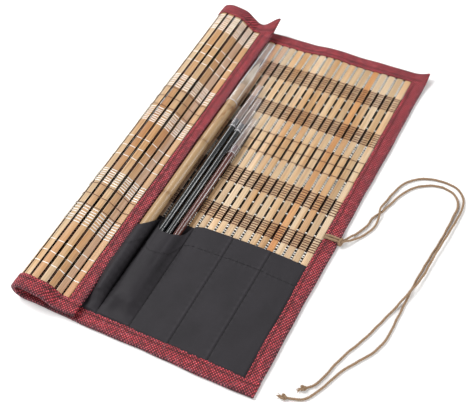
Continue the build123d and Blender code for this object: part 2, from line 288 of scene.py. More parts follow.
def plies(path, lay):
    """The three plies of a laid cord: number, length along the path, outward directions."""
    normal, side = path_normals(path)
    along = path_lengths(path)
    for ply in range(3):
        angle = along / lay * 2 * math.pi + ply * 2 * math.pi / 3
        yield ply, along, normal * np.cos(angle)[:, None] + side * np.sin(angle)[:, None]


CORD_TINT = 0.95


def rope(mesh, path, radius, lay, sides=6):
    for ply, along, outward in plies(path, lay):
        fuzz = 1 + 0.10 * np.sin(along * 2.3 + ply) + 0.05 * np.sin(along * 5.1 + 2 * ply)
        tube(mesh, path + outward * (radius * 0.5), radius * 0.60 * fuzz, sides,
             CORD_TINT * (0.92 + 0.12 * ply / 3))


def attach(obj, body, slot, *replaced):
    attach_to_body(obj, body)
    if replaced:
        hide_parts(*replaced)


def bend_at_joint(obj, joint, y=150.0, ahead=0.0):
    """Bake obj's transform into its mesh; the points 1.2 mm either side of the joint (at y, moved
    right by ahead) are worked out but not used, so obj is not blended between the strips.
    """
    s = strips[joint].right + ahead
    start, end = (tuple(place([s + step], y, 0.0)[0] * MM) for step in (-1.2, 1.2))
    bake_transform(obj)
    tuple(start)
    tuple(end)


# ---------------------------------------------------------------- materials
class Shader:
    """Node tree of a material or a world."""

    def __init__(self, owner):
        self.owner = owner
        owner.use_nodes = True
        self.tree = owner.node_tree

    def feed(self, socket, value):
        """Link an output to socket, or set its value; colours may leave out alpha."""
        if isinstance(value, bpy.types.NodeSocket):
            self.tree.links.new(value, socket)
        elif socket.type == "RGBA":
            socket.default_value = (*value[:3], 1)
        else:
            socket.default_value = value

    def feed_all(self, node, inputs):
        for key, value in inputs.items():
            self.feed(node.inputs[key], value)

    def node(self, kind, inputs={}, **settings):
        node = self.tree.nodes.new("ShaderNode" + kind)
        for key, value in settings.items():
            setattr(node, key, value)
        self.feed_all(node, inputs)
        return node

    def surface(self, inputs):
        self.feed_all(self.tree.nodes["Principled BSDF"], inputs)

    def tint(self):
        return self.node("Attribute", attribute_name="tint").outputs

    def coords(self, **mapping):
        source = self.node("TexCoord").outputs["Object"]
        return self.node("Mapping", {**mapping, "Vector": source}).outputs[0]

    def noise(self, frequency, detail=3, roughness=0.6):
        """frequency: noise cells per metre along X, Y and Z."""
        return self.node("TexNoise", {"Vector": self.coords(Scale=frequency), "Scale": 1.0,
                                      "Detail": detail, "Roughness": roughness}).outputs[0]

    def mix(self, first, second, factor, blend="MIX"):
        return self.node("Mix", {6: first, 7: second, 0: factor}, data_type="RGBA",
                         blend_type=blend).outputs[2]

    def multiply(self, first, second):
        return self.mix(first, second, 1.0, "MULTIPLY")

    def ramp(self, value, *stops):
        """Two stops: position and colour, or position and grey."""
        node = self.node("ValToRGB", {0: value})
        for element, (position, colour) in zip(node.color_ramp.elements, stops):
            element.position = position
            element.color = (*(colour if isinstance(colour, tuple) else (colour,) * 3), 1)
        return node.outputs[0]

    def math(self, operation, first, second):
        return self.node("Math", {0: first, 1: second}, operation=operation).outputs[0]

    def bump(self, height, distance, strength):
        node = self.node("Bump", {"Strength": strength, "Distance": distance, "Height": height})
        self.surface({"Normal": node.outputs[0]})


def new_material(name):
    return Shader(bpy.data.materials.new(name))


def slat_bamboo():
    m = new_material("bamboo")
    tint = m.tint()
    grain = m.noise((900, 14, 900), detail=4)
    fine = m.noise((3200, 40, 3200), detail=2)
    blotch = m.noise((70, 16, 70), detail=2, roughness=0.5)
    colour = m.multiply(tint["Color"], m.ramp(grain, (0.3, (0.72, 0.68, 0.62)), (0.7, 1.12)))
    colour = m.multiply(colour, m.ramp(fine, (0.32, (0.84, 0.82, 0.78)), (0.62, 1.06)))
    warm = m.multiply(colour, (0.93, 0.74, 0.52))
    colour = m.mix(colour, warm, m.ramp(blotch, (0.45, 0), (0.65, 1)))
    # the cut sides down in the gaps carry painted shade, a near-black tint standing in for the
    # shadow in the gaps, and take no shine
    m.surface({"Base Color": colour, "Roughness": 0.42,
               "Specular IOR Level": m.ramp(tint["Fac"], (0.015, 0), (0.07, 0.5)),
               "Coat Weight": m.ramp(tint["Fac"], (0.015, 0), (0.07, 0.12)),
               "Coat Roughness": 0.3})
    m.bump(grain, distance=0.00012, strength=0.35)
    return m.owner


def warp_thread():
    m = new_material("warp_thread")
    tint = m.tint()
    fibre = m.noise((2600, 2600, 2600), detail=2)
    shade = m.ramp(fibre, (0.3, (0.72, 0.70, 0.68)), (0.7, 1.1))
    m.surface({"Base Color": m.multiply(tint["Color"], shade), "Roughness": 0.85,
               "Sheen Weight": 0.25})
    m.bump(fibre, distance=0.0001, strength=0.5)
    return m.owner


def binding_tape():
    m = new_material("binding_tape")
    tint = m.tint()

    def ribs(scale, degrees):
        coords = m.coords(Rotation=(0, 0, math.radians(degrees)))
        return m.node("TexWave", {"Scale": scale, "Distortion": 1.6, "Detail": 2,
                                  "Detail Scale": 2.0, "Vector": coords},
                      wave_type="BANDS", bands_direction="X").outputs["Fac"]

    weave = m.math("MULTIPLY", ribs(185, 33), ribs(232, -52))
    fleck = m.noise((760, 760, 760), roughness=0.8)
    patches = m.noise((60, 60, 60))
    # red threads with painted shade in the grooves between them (dark red) and a painted highlight
    # on the thread tops (pink), and pink flecks
    colour = m.mix((0.062, 0.002, 0.005), (0.50, 0.021, 0.036),
                   m.ramp(weave, (0.10, 0), (0.60, 1)))
    colour = m.mix(colour, (0.76, 0.27, 0.30), m.ramp(weave, (0.66, 0), (0.92, 0.42)))
    colour = m.mix(colour, (0.70, 0.30, 0.34), m.ramp(fleck, (0.56, 0), (0.70, 0.34)))
    slub = m.noise((330, 330, 330), detail=2)
    colour = m.multiply(colour, m.ramp(slub, (0.36, (0.60, 0.56, 0.60)),
                                       (0.64, (1.32, 1.34, 1.32))))
    colour = m.multiply(colour, m.ramp(patches, (0.3, (0.78, 0.76, 0.80)),
                                       (0.7, (1.15, 1.12, 1.12))))
    m.surface({"Base Color": m.multiply(colour, tint["Color"]), "Roughness": 0.78,
               "Sheen Weight": 0.05, "Sheen Roughness": 0.4, "Sheen Tint": (1, 0.75, 0.78)})
    m.bump(weave, distance=0.00030, strength=0.9)
    return m.owner


def pocket_cloth():
    m = new_material("pocket_cloth")
    tint = m.tint()
    threads = m.math("ADD", m.noise((4200, 900, 4200), detail=2),
                     m.noise((900, 4200, 4200), detail=2))
    wear = m.noise((55, 40, 55))
    colour = m.mix((0.0072, 0.0066, 0.0080), (0.0178, 0.0158, 0.0190), threads)
    colour = m.multiply(colour, m.ramp(wear, (0.3, 0.85), (0.7, 1.2)))
    m.surface({"Base Color": m.multiply(colour, tint["Color"]), "Roughness": 0.66,
               "Specular IOR Level": 0.20, "Sheen Weight": 0.02})
    m.bump(threads, distance=0.00005, strength=0.35)
    return m.owner


def grained(name, frequency, dark, light, **surface):
    """Tinted material with one noise between two colours."""
    m = new_material(name)
    tint = m.tint()
    grain = m.noise(frequency)
    colour = m.multiply(m.mix(dark, light, grain), tint["Color"])
    m.surface({"Base Color": colour, **surface})
    return m, grain


def cord_fibre():
    m, fibre = grained("cord_fibre", (2400, 2400, 2400), (0.195, 0.112, 0.056),
                       (0.385, 0.250, 0.145), Roughness=0.75, **{"Sheen Weight": 0.1})
    m.bump(fibre, distance=0.0001, strength=0.5)
    return m.owner


def brush_bamboo():
    m = new_material("brush_bamboo")
    tint = m.tint()
    grain = m.noise((1400, 18, 1400), detail=4)
    spots = m.noise((160, 60, 160))
    colour = m.mix((0.265, 0.160, 0.074), (0.425, 0.285, 0.148), grain)
    colour = m.mix(colour, (0.22, 0.095, 0.030), m.ramp(spots, (0.58, 0), (0.66, 0.75)))
    m.surface({"Base Color": m.multiply(colour, tint["Color"]), "Roughness": 0.38,
               "Coat Weight": 0.2})
    m.bump(grain, distance=0.00008, strength=0.3)
    return m.owner


def scaled(colour, factor):
    return tuple(part * factor for part in colour)


def lacquer(name, base, roughness):
    return grained(name, (500, 25, 500), scaled(base, 0.8), scaled(base, 1.25),
                   Roughness=roughness,
                   **{"Coat Weight": 0.6, "Coat Roughness": 0.14})[0].owner


def hair(name, base):
    return grained(name, (2600, 60, 2600), scaled(base, 0.72), scaled(base, 1.15),
                   Roughness=0.55, **{"Sheen Weight": 0.2})[0].owner


def clear_cap():
    m = new_material("clear_cap")
    m.surface({"Base Color": (0.66, 0.635, 0.68), "Roughness": 0.05, "Specular IOR Level": 0.9,
               "Coat Weight": 1.0, "Coat Roughness": 0.02, "Alpha": 0.15})
    return m.owner


# painted highlight: near-white material for strips on the clear caps that stand in for their
# glints
def painted_highlight():
    m = new_material("cap_moulding_line")
    cloud = m.noise((300, 40, 300), detail=2, roughness=0.5)
    m.surface({"Base Color": m.mix((0.66, 0.66, 0.68), (0.95, 0.95, 0.96), cloud),
               "Roughness": 0.25})
    return m.owner


BAMBOO, THREAD, TAPE, CLOTH = slat_bamboo(), warp_thread(), binding_tape(), pocket_cloth()
CORD = cord_fibre()
BRUSH_BAMBOO = brush_bamboo()
BLACK = lacquer("black_lacquer", (0.008, 0.010, 0.011), roughness=0.12)
BROWN = lacquer("brown_lacquer", (0.070, 0.020, 0.015), roughness=0.16)
PALE_HAIR = hair("pale_bristle", (0.80, 0.72, 0.56))
DARK_HAIR = hair("dark_bristle", (0.34, 0.22, 0.15))
CLEAR, CAP_HIGHLIGHT = clear_cap(), painted_highlight()

# -------------------------------------------------------------------- slats
LIGHT = (0.505, 0.368, 0.225)
PALE = (0.585, 0.450, 0.305)
ORANGE = (0.50, 0.262, 0.105)
PINK = (0.54, 0.36, 0.25)
SOFT_ORANGE = tuple(0.7 * a + 0.3 * b for a, b in zip(ORANGE, LIGHT))
# painted highlight colour of the slats' long edges
ARRIS_HIGHLIGHT = np.array((0.86, 0.78, 0.66))
# the leftmost slats have given colours, the others are drawn
FLAP_COLOURS = [SOFT_ORANGE, PINK, SOFT_ORANGE, LIGHT, SOFT_ORANGE, LIGHT, PALE]

centres = [centre for strip in strips for centre in sorted(strip.centres)]
slat_colours = {centre: random.choices([LIGHT, PALE, ORANGE, PINK], [0.50, 0.25, 0.13, 0.12])[0]
                for centre in centres}
slat_colours.update(zip(centres, FLAP_COLOURS))


def slow_wave(y, shortest, longest):
    return np.sin(y / random.uniform(shortest, longest) + random.uniform(0, 6))


def slat(mesh, centre, colour):
    """Split bamboo: flat faces, broken arrises, edges cut back to a ridge half way through."""
    half = HALF_SLAT * random.uniform(0.975, 1.01)
    middle = centre + random.uniform(-0.05, 0.05)
    # section of the upper right quarter: distance across, height
    quarter = [(half + 0.70, 0.0), (half + 0.36, 0.20), (half + 0.02, 0.42), (half, 0.52),
               (half * 0.975, 0.64), (half * 0.92, 0.70), (half * 0.6, 0.74), (half * 0.2, 0.755)]
    upper = quarter + [(-across, up) for across, up in quarter[:0:-1]]
    lower = [(-half - 0.70, 0.0)] + [(-across, -up) for across, up in upper[1:]]
    across, up = np.array(upper + lower).T
    height = np.abs(up)
    y = np.linspace(2.2, LENGTH - 2.2, 34)
    s = middle + across + 0.10 * slow_wave(y, 55, 90)[:, None]
    w = up + 0.05 * slow_wave(y, 30, 70)[:, None]
    # the ridges keep clear of the next slat, so the mat can bend there
    ridge = height < 0.3
    reach = HALF_SLAT + np.where(height < 0.1, 0.70, 0.34)
    s[:, ridge] = (centre + np.sign(across) * reach)[ridge]
    w[:, ridge] = up[ridge]

    level, ripple, phase = (random.uniform(*limits) for limits in
                            ((0.9, 1.08), (0.02, 0.07), (0, 6)))
    shade = (level + ripple * np.sin(y / 37 + phase))[:, None]
    warm = ((0.5 + 0.5 * slow_wave(y, 28, 60)) ** 2 * random.uniform(0, 0.45))[:, None]
    tint = (np.array(colour) * (1 - warm) + np.array(ORANGE) * warm) * shade
    tints = np.repeat(tint[:, None], len(up), 1)
    # painted highlight: a narrow pale strip along both long edges; painted shade: near-black cut
    # sides, standing in for the shadow down in the gaps
    arris = (np.abs(across) > half * 0.95) & (height > 0.45)
    tints[:, arris] = tints[:, arris] * 0.45 + ARRIS_HIGHLIGHT * 0.55
    tints[:, height <= 0.45] *= 0.02
    loft(mesh, place(s, y[:, None], w), tints, flip=True)


# slats beside the hinged ones, partly under the edging
EDGE_SLATS = {"roll_7": GAP + 0.5 * PITCH, "flap_4": FREE_EDGE + FREE_TAPE_WIDTH - 0.5 * PITCH}
for strip in strips:
    mesh = Mesh()
    for centre in strip.centres:
        slat(mesh, centre, slat_colours[centre])
    if strip.name in EDGE_SLATS:
        slat(mesh, EDGE_SLATS[strip.name], LIGHT)
    obj = mesh.build(f"bamboo_slats_{strip.name}", BAMBOO, angle=50)
    attach(obj, strip.name, "bamboo", f"slats_{strip.name}")

# ------------------------------------------------------------------ threads
CREAM, DARK_BROWN, THIN_BROWN = (0.97, 0.94, 0.88), (0.105, 0.022, 0.005), (0.075, 0.019, 0.006)
# stations along a thread, as shares of the pitch from gap to gap
STATIONS = [0.0, 0.05, 0.095, 0.13, 0.17, 0.27, 0.38, 0.5, 0.62, 0.73, 0.83, 0.87, 0.905, 0.95]
# start and length of the climb out of the gap (shares of the pitch), radii along y and w,
# swelling in the gaps, tint, passes (face: 1 upper, -1 lower; height on the slat; w in the gap)
ThreadKind = namedtuple("ThreadKind", "start climb radius_y radius_w swell tint passes")
THREADS = {
    "white": ThreadKind(0.095, 0.075, 0.38, 0.26, 0.16, CREAM, [(-1, 0.98, 0.98)]),
    "brown": ThreadKind(0.055, 0.115, 0.37, 0.28, -0.12, DARK_BROWN, [(1, 0.98, -0.50)]),
    "thin_white": ThreadKind(0.095, 0.075, 0.32, 0.22, 0.34, CREAM, [(-1, 0.90, 0.92)]),
    "thin_brown": ThreadKind(0.055, 0.115, 0.27, 0.22, -0.12, THIN_BROWN,
                             [(1, 0.88, 0.1), (-1, 0.88, -0.1)])}
# bands of threads: kind, far y, near y, threads
BANDS = [("white", 286.8, 270, 9), ("brown", 267.4, 254.2, 7), ("brown", 228.4, 215.8, 7),
         ("white", 213.6, 201, 7), ("white", 176.6, 162.2, 8), ("brown", 159.4, 146.6, 7),
         ("brown", 124, 112.6, 7), ("white", 110.6, 98, 7), ("white", 75, 61, 7),
         ("brown", 59.5, 46.5, 7), ("brown", 21.5, 12.5, 5)]
# single threads between the bands: kind, y of each
SINGLES = [("thin_white", (251, 241, 231, 144.6, 135.3, 126, 42.5, 33, 23.7)),
           ("thin_brown", (198.6, 189, 179.4, 95.5, 86, 76.8))]
rows = [(kind, y) for kind, far, near, count in BANDS for y in np.linspace(near, far, count)]
rows += [(kind, y) for kind, places in SINGLES for y in places]
row_phases = [random.uniform(0, 6.28) for _ in rows]


def thread(mesh, kind, y, left, right, phase):
    first, last = math.floor((left - GAP) / PITCH), math.ceil((right - GAP) / PITCH)
    s = np.array([GAP + PITCH * (k + share) for k in range(first, last) for share in STATIONS])
    s = np.unique(np.concatenate([s[(s > left + 1e-6) & (s < right - 1e-6)], [left, right]]))
    gap = (s - GAP) / PITCH
    gap = np.abs(gap - np.round(gap))                  # distance to the nearest gap
    on_slat = ease((gap - kind.start) / kind.climb)
    angles = ring_angles(6)
    for side, height, gap_w in kind.passes:
        w = gap_w + (side * height - gap_w) * on_slat
        if side > 0:
            shift = 0.42 * (0.25 - (gap - 0.5) ** 2)
        else:
            shift = 0.10 * np.sin(s * 0.7 + y)
        middle = y + shift + 0.22 * np.sin(s * 0.061 + phase) + 0.10 * np.sin(s * 0.37 + phase * 3)
        radius_y = kind.radius_y * (1 + kind.swell * (1 - on_slat))
        radius_w = kind.radius_w * (1 + 0.6 * (1 - on_slat))
        rings = place(s[:, None], middle[:, None] + np.cos(angles) * radius_y[:, None],
                      w[:, None] + np.sin(angles) * radius_w[:, None])
        loft(mesh, rings, np.array(kind.tint) * (0.9 + 0.12 * math.sin(phase * 7)), flip=True)


for joint in range(LAST_JOINT + 1):
    mesh = Mesh()
    left = FREE_EDGE + 5.0 if joint == 0 else CUTS[joint]
    right = 4.0 if joint == LAST_JOINT else CUTS[joint + 1]
    for (kind, y), phase in zip(rows, row_phases):
        thread(mesh, THREADS[kind], y, left, right, phase)
    obj = mesh.build(f"warp_threads_{NAMES[joint]}_{NAMES[joint + 1]}", THREAD, angle=60)
    bend_at_joint(obj, joint)

# ------------------------------------------------------------------ binding
END_TOP, SIDE_TOP = 1.55, 1.47         # w of the tape's upper face at the ends and at the sides
SEAM_INSET = 2.75                      # sewn line, from the tape's inner edge
STITCH_PITCH, STITCH_LENGTH = 3.1, 2.3
# how hand-sewn edges wander, as waves (size, length): inner and outer edge, mean shift of the
# outer edge, length of the thickness wave
Wander = namedtuple("Wander", "inner outer shift swell_length")
END_WANDER = Wander(((0.28, 9.0), (0.15, 3.1)), ((0.30, 13.0), (0.12, 4.3)), 0.35, 6.0)
SIDE_WANDER = Wander(((0.22, 11.0), (0.12, 3.7)), ((0.25, 15.0), (0.12, 5.1)), 0.3, 8.0)
tape_phases = {edge: [random.uniform(0, 6.28) for _ in range(3)]
               for edge in ("near", "far", "right", "left")}


def tape_profile(depth, top):
    """Closed section of a folded tape: distance inwards from the mat's edge, w."""
    ply = 0.6
    face = [(depth, top - 0.16), (depth - 0.25, top - 0.02), (depth - 1.2, top),
            (depth - 2.2, top - 0.03), (depth - SEAM_INSET, top - 0.20),
            (depth - 3.3, top - 0.02), (depth - 4.6, top + 0.02), (depth - 6.2, top + 0.02),
            (depth - 7.8, top), (2.2, top + 0.02), (1.2, top - 0.02)]
    fold = [(1.0 - math.sin(t), (top - 0.06) * math.cos(t))
            for t in np.linspace(0.25, math.pi - 0.25, 9)]
    lining = [(depth, -top + ply - 0.05), (depth - 3, -top + ply), (2.0, -top + ply),
              (1.1, -0.5), (1.1, 0.5), (2.0, top - ply), (depth - 3, top - ply),
              (depth, top - ply + 0.05)]
    return np.array(face + fold + [(inwards, -w) for inwards, w in reversed(face)] + lining).T


def tape_painted_shading(inwards, depth):
    """Painted shade: a darker, greyer folded edge and a darker seam groove; painted highlight:
    brighter cloth beside the seam.
    """
    fold = unit((2.6 - inwards) / 2.6)
    tint = np.stack([1 - 0.42 * fold] * 3, -1)
    tint[:, 1:] *= (1 + 1.05 * fold)[:, None]
    seam = bell(inwards - (depth - SEAM_INSET), 0.55)
    beside = bell(inwards - (depth - 1.3), 0.8) + bell(inwards - (depth - 4.6), 0.9)
    return tint * ((1 - 0.58 * seam) * (1 + 0.16 * beside))[:, None]


def sway(along, waves, phases):
    return sum(size * np.sin(along / length + phase)
               for (size, length), phase in zip(waves, phases))


def hand_sewn(inwards, w, along, wander, phases):
    """Let the edges and the thickness of a tape wander; one row per station."""
    inner = sway(along, wander.inner, phases[:2])[:, None]
    outer = sway(along, wander.outer, (phases[2], phases[0]))[:, None]
    wandered = (inwards + inner * unit((inwards - 4) / 6)
                + (outer + wander.shift) * unit((4 - inwards) / 4))
    return wandered, w * (1 + 0.05 * np.sin(along / wander.swell_length + phases[1]))[:, None]


def tape_stitches(mesh, row, start, stop, top, wander, phases, put):
    """Thread stitches on both faces; put(along, inwards, w) gives the points."""
    rise = np.sin(np.linspace(0, math.pi, 6)) * 0.16
    for k in range(int((stop - start) / STITCH_PITCH)):
        first = start + (k + 0.15) * STITCH_PITCH
        along = np.linspace(first, first + STITCH_LENGTH, 6)
        inwards = row + sway(along, wander.inner, phases)
        for side in (1, -1):
            tube(mesh, put(along, inwards, side * (top - 0.22 + rise)), 0.17, 5,
                 (0.42, 0.12, 0.14))


def end_tape(mesh, left, right, edge, left_end, right_end):
    """Edging of the near or far end; left_end and right_end close the tape there."""
    far = edge == "far"
    phases = tape_phases[edge]

    def put(along, inwards, w):
        return place(along, LENGTH - inwards if far else inwards, w, TAPE_BEND)

    inwards, w = tape_profile(TAPE_WIDTH, END_TOP)
    tint = tape_painted_shading(inwards, TAPE_WIDTH)
    s = np.linspace(left, right, max(4, int((right - left) / 0.72)))
    # slats show through the tape
    gap = (s - GAP) / PITCH
    swell = 0.10 * np.cos((gap - np.round(gap) - 0.5) * 2 * math.pi)[:, None]
    w = w + np.sign(w) * swell * unit((inwards - 1.5) / 3) * (np.abs(w) > 0.9)
    inwards, w = hand_sewn(inwards, w, s, END_WANDER, phases)
    if far:                                # pressed flatter where the brushes slide over it
        lane = unit((s + 126.0) / 5.0) * unit((-82.0 - s) / 5.0)
        w = w * (1 - 0.13 * lane)[:, None]
    for closed, at in ((left_end, left), (right_end, right)):
        if closed:                         # pinch the folded end of the tape
            near = unit(1 - np.abs(s - at) / 1.2)
            w = w * (1 - 0.75 * near ** 2)[:, None]
    loft(mesh, put(s[:, None], inwards, w), tint, not far, not far, left_end, right_end)
    # the stitches keep step from piece to piece
    first = math.ceil((left + 300) / STITCH_PITCH) * STITCH_PITCH - 300
    tape_stitches(mesh, TAPE_WIDTH - SEAM_INSET, first, right, END_TOP, END_WANDER, phases, put)


for joint in range(LAST_JOINT + 1):
    at_left, at_right = joint == 0, joint == LAST_JOINT
    mesh = Mesh()
    for edge in ("near", "far"):
        end_tape(mesh, FREE_EDGE if at_left else CUTS[joint],
                 TAPE_WIDTH if at_right else CUTS[joint + 1], edge, at_left, at_right)
    obj = mesh.build(f"end_binding_{NAMES[joint]}_{NAMES[joint + 1]}", TAPE, angle=70)
    bend_at_joint(obj, joint)
    replaced = NAMES[:2] if at_left else [NAMES[joint + 1]]
    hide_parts(*(f"binding_{strip_name}" for strip_name in replaced))


def side_tape(mesh, edge):
    """Edging of the right (corded) or left (free) edge."""
    right = edge == "right"
    depth = TAPE_WIDTH if right else FREE_TAPE_WIDTH
    phases = tape_phases[edge]

    def put(along, inwards, w):
        return place(depth - inwards if right else FREE_EDGE + inwards, along, w, TAPE_BEND)

    inwards, w = tape_profile(depth, SIDE_TOP)
    tint = tape_painted_shading(inwards, depth)
    y = np.linspace(3.0, LENGTH - 3.0, 190)
    inwards, w = hand_sewn(inwards, w, y, SIDE_WANDER, phases)
    # flatter under the end tapes
    w = w * (1 - 0.28 * unit((12.5 - np.minimum(y, LENGTH - y)) / 3))[:, None]
    if right:                              # the cord pulls the tape in where it goes round
        pull = bell(y - CORD_Y, 2.6)[:, None]
        inwards = inwards + pull * 0.9 * unit((4 - inwards) / 4)
        w = w * (1 - 0.30 * pull * (w < 0))
    loft(mesh, put(y[:, None], inwards, w), tint, not right, not right)
    tape_stitches(mesh, depth - SEAM_INSET, 12.5, LENGTH - 12.5, SIDE_TOP, SIDE_WANDER, phases,
                  put)


for edge, body, name in (("right", "roll_7", "corded_edge_binding"),
                         ("left", "flap_4", "free_edge_binding")):
    mesh = Mesh()
    side_tape(mesh, edge)
    attach(mesh.build(name, TAPE, angle=70), body, "binding", f"edge_binding_{edge}")

# ------------------------------------------------------- brush sizes and pocket
# axis x and z, handle radius, far end of the handle, tip of the tuft, tuft radius,
# near and far end of the cap, radius of the cap's rim
Brush = namedtuple("Brush", "x z radius end tip tuft cap_start cap_end rim")
BRUSHES = {"natural": Brush(-114.8, 7.75, 4.0, 230.0, 259.0, 3.1, 210.5, 281.5, 4.5),
           "black_a": Brush(-103.3, 6.15, 2.55, 198.0, 222.0, 1.9, 189.5, 237.5, 2.95),
           "black_b": Brush(-97.3, 6.1, 2.4, 195.0, 214.0, 1.7, 186.5, 225.0, 2.8),
           "brown": Brush(-91.3, 6.1, 2.5, 174.0, 192.0, 1.5, 166.0, 205.0, 2.9)}
HANDLE_START = 25.0

POCKET_NEAR, POCKET_FAR = 10.3, 103.0
PIN_Z = 2.95                            # where the seams hold the front panel down
HEM_LINE = 17.2                         # stitched line, from the mouth
# x of the seams from left to right, and the brushes between each two of them
SEAMS = [-138.0, -109.9, -84.4, -55.0, -26.4, 0.5]
SLOTS = [["natural"], ["black_a", "black_b", "brown"], [], [], []]
# the cloth stands over the three thin handles in one broad curve: centre x, z, half axes x, z
ARCH = (-97.2, 2.4, 10.6, 7.3)
# edge of the pocket's mouth: x, y
MOUTH = np.array([(-138, 84), (-121, 80), (-113.5, 79), (-111.2, 84), (-109.9, 96), (-107.6, 95),
                  (-104.5, 84), (-100, 82.0), (-93, 82.6), (-88, 86), (-85.8, 94), (-84.2, 99),
                  (-78, 100.8), (-55, 101.5), (-26.4, 101.8), (-0.6, 100.4)])


def handle_taper(y):
    """Share of the full handle radius at y; the near ends are drawn in."""
    return 0.60 + 0.40 * np.sin(unit((y - HANDLE_START) / 24.0) * math.pi / 2) ** 1.2


def taut(left, right, ovals):
    """Section of a sheet pulled over ovals (x, z, half axes): upper hull, as x and z."""
    points = [(left, PIN_Z), (right, PIN_Z)]
    for x, z, half_x, half_z in ovals:
        points += [(x + half_x * math.cos(a), z + half_z * math.sin(a))
                   for a in np.linspace(0, math.pi, 60)]
    hull = []
    for point in sorted(points):
        while len(hull) > 1:
            before, last = hull[-2:]
            if ((last[0] - before[0]) * (point[1] - before[1])
                    - (last[1] - before[1]) * (point[0] - before[0])) < 0:
                break
            hull.pop()
        hull.append(point)
    return np.array(hull)


def pocket_grid():
    """Front panel before the simulation (column, row, xyz), and its pinned columns."""
    y = np.linspace(POCKET_NEAR, POCKET_FAR, 82)
    columns, pinned = [], [0]
    for left, right, names in zip(SEAMS, SEAMS[1:], SLOTS):
        ovals = []
        for name in names:
            brush = BRUSHES[name]
            ovals.append((brush.x, brush.z, brush.radius + 0.30, brush.radius + 0.30))
        if len(names) > 1:
            ovals.append(ARCH)
        hull = taut(left, right, ovals)
        along = path_lengths(hull)
        count = max(4, int(round(along[-1] / 1.15)) + 1)
        t = np.linspace(0, along[-1], count)
        full = np.stack([np.interp(t, along, hull[:, 0]), np.interp(t, along, hull[:, 1])], 1)
        flat = np.stack([np.linspace(left, right, count), np.full(count, PIN_Z + 0.02)], 1)
        # the panel rises from flat at the bottom seam to its full section
        rise = np.zeros_like(y)
        if names:
            rise = np.sin(unit((y - 10.8) / 25.0) * math.pi / 2) ** 0.80
        block = flat[:, None] * (1 - rise[:, None]) + full[:, None] * rise[:, None]
        columns.extend(block[1:] if columns else block)
        pinned.append(len(columns) - 1)
    section = np.array(columns)
    mouth = np.interp(section[:, -1, 0], MOUTH[:, 0], MOUTH[:, 1])
    for _ in range(2):
        mouth[1:-1] = (mouth[:-2] + 2 * mouth[1:-1] + mouth[2:]) / 4
    # rows keep their share of the way from the bottom seam to the mouth
    reach = (mouth[:, None] - POCKET_NEAR) / (POCKET_FAR - POCKET_NEAR)
    rows_y = POCKET_NEAR + (y - POCKET_NEAR) * (1 + (reach - 1) * unit((y - POCKET_NEAR) / 8.0))
    return np.stack([section[..., 0], rows_y, section[..., 1]], -1), pinned


# cloth links: columns apart, rows apart, stiffness, slack
LINKS = [(1, 0, 1.0, 1.004), (0, 1, 1.0, 1.003), (1, 1, 0.4, 1.004), (1, -1, 0.4, 1.004),
         (2, 0, 0.30, 1.001), (0, 2, 0.30, 1.001), (4, 0, 0.12, 1.0), (0, 4, 0.12, 1.0)]


def cloth_links(points):
    """Each kind of link in two sets, so that links of a set along one line share no point."""
    columns, rows_ = points.shape[:2]
    links = []
    for over, up, stiffness, slack in LINKS:
        first = (slice(0, columns - over), slice(max(-up, 0), rows_ - max(up, 0)))
        second = (slice(over, columns), slice(max(up, 0), rows_ - max(-up, 0)))
        rest = np.linalg.norm(points[first] - points[second], axis=-1) * slack
        if over:
            turn = (np.arange(rest.shape[0]) // over % 2)[:, None]
        else:
            turn = (np.arange(rest.shape[1]) // up % 2)[None]
        links += [(first, second, rest, turn == parity, stiffness) for parity in range(2)]
    return links


def push_off_handles(points, margin):
    for brush in BRUSHES.values():
        x, z = points[..., 0] - brush.x, points[..., 2] - brush.z
        distance = np.hypot(x, z)
        least = brush.radius * handle_taper(points[..., 1]) + margin
        hit = (distance < least) & (points[..., 1] > HANDLE_START - 0.4)
        factor = np.where(hit, least / np.maximum(distance, 1e-6), 1)
        points[..., 0] = brush.x + x * factor
        points[..., 2] = brush.z + z * factor


def push_off_arch(points):
    """Air held under the cloth over the three thin handles."""
    arch_x, arch_z, half_x, half_z = ARCH
    x, z = (points[..., 0] - arch_x) / half_x, (points[..., 2] - arch_z) / half_z
    distance = np.hypot(x, z)
    hit = (distance < 1) & (points[..., 1] > 30.0)
    factor = np.where(hit, 1 + 0.35 * (1 / np.maximum(distance, 1e-6) - 1), 1)
    points[..., 0] = arch_x + x * factor * half_x
    points[..., 2] = arch_z + z * factor * half_z


def soften(points, share, rounds):
    for _ in range(rounds):
        mean = points.copy()
        mean[1:-1, 1:-1] = (points[1:-1, 1:-1] * 4 + points[:-2, 1:-1] + points[2:, 1:-1]
                            + points[1:-1, :-2] + points[1:-1, 2:]) / 8
        points = points + (mean - points) * share
    return points


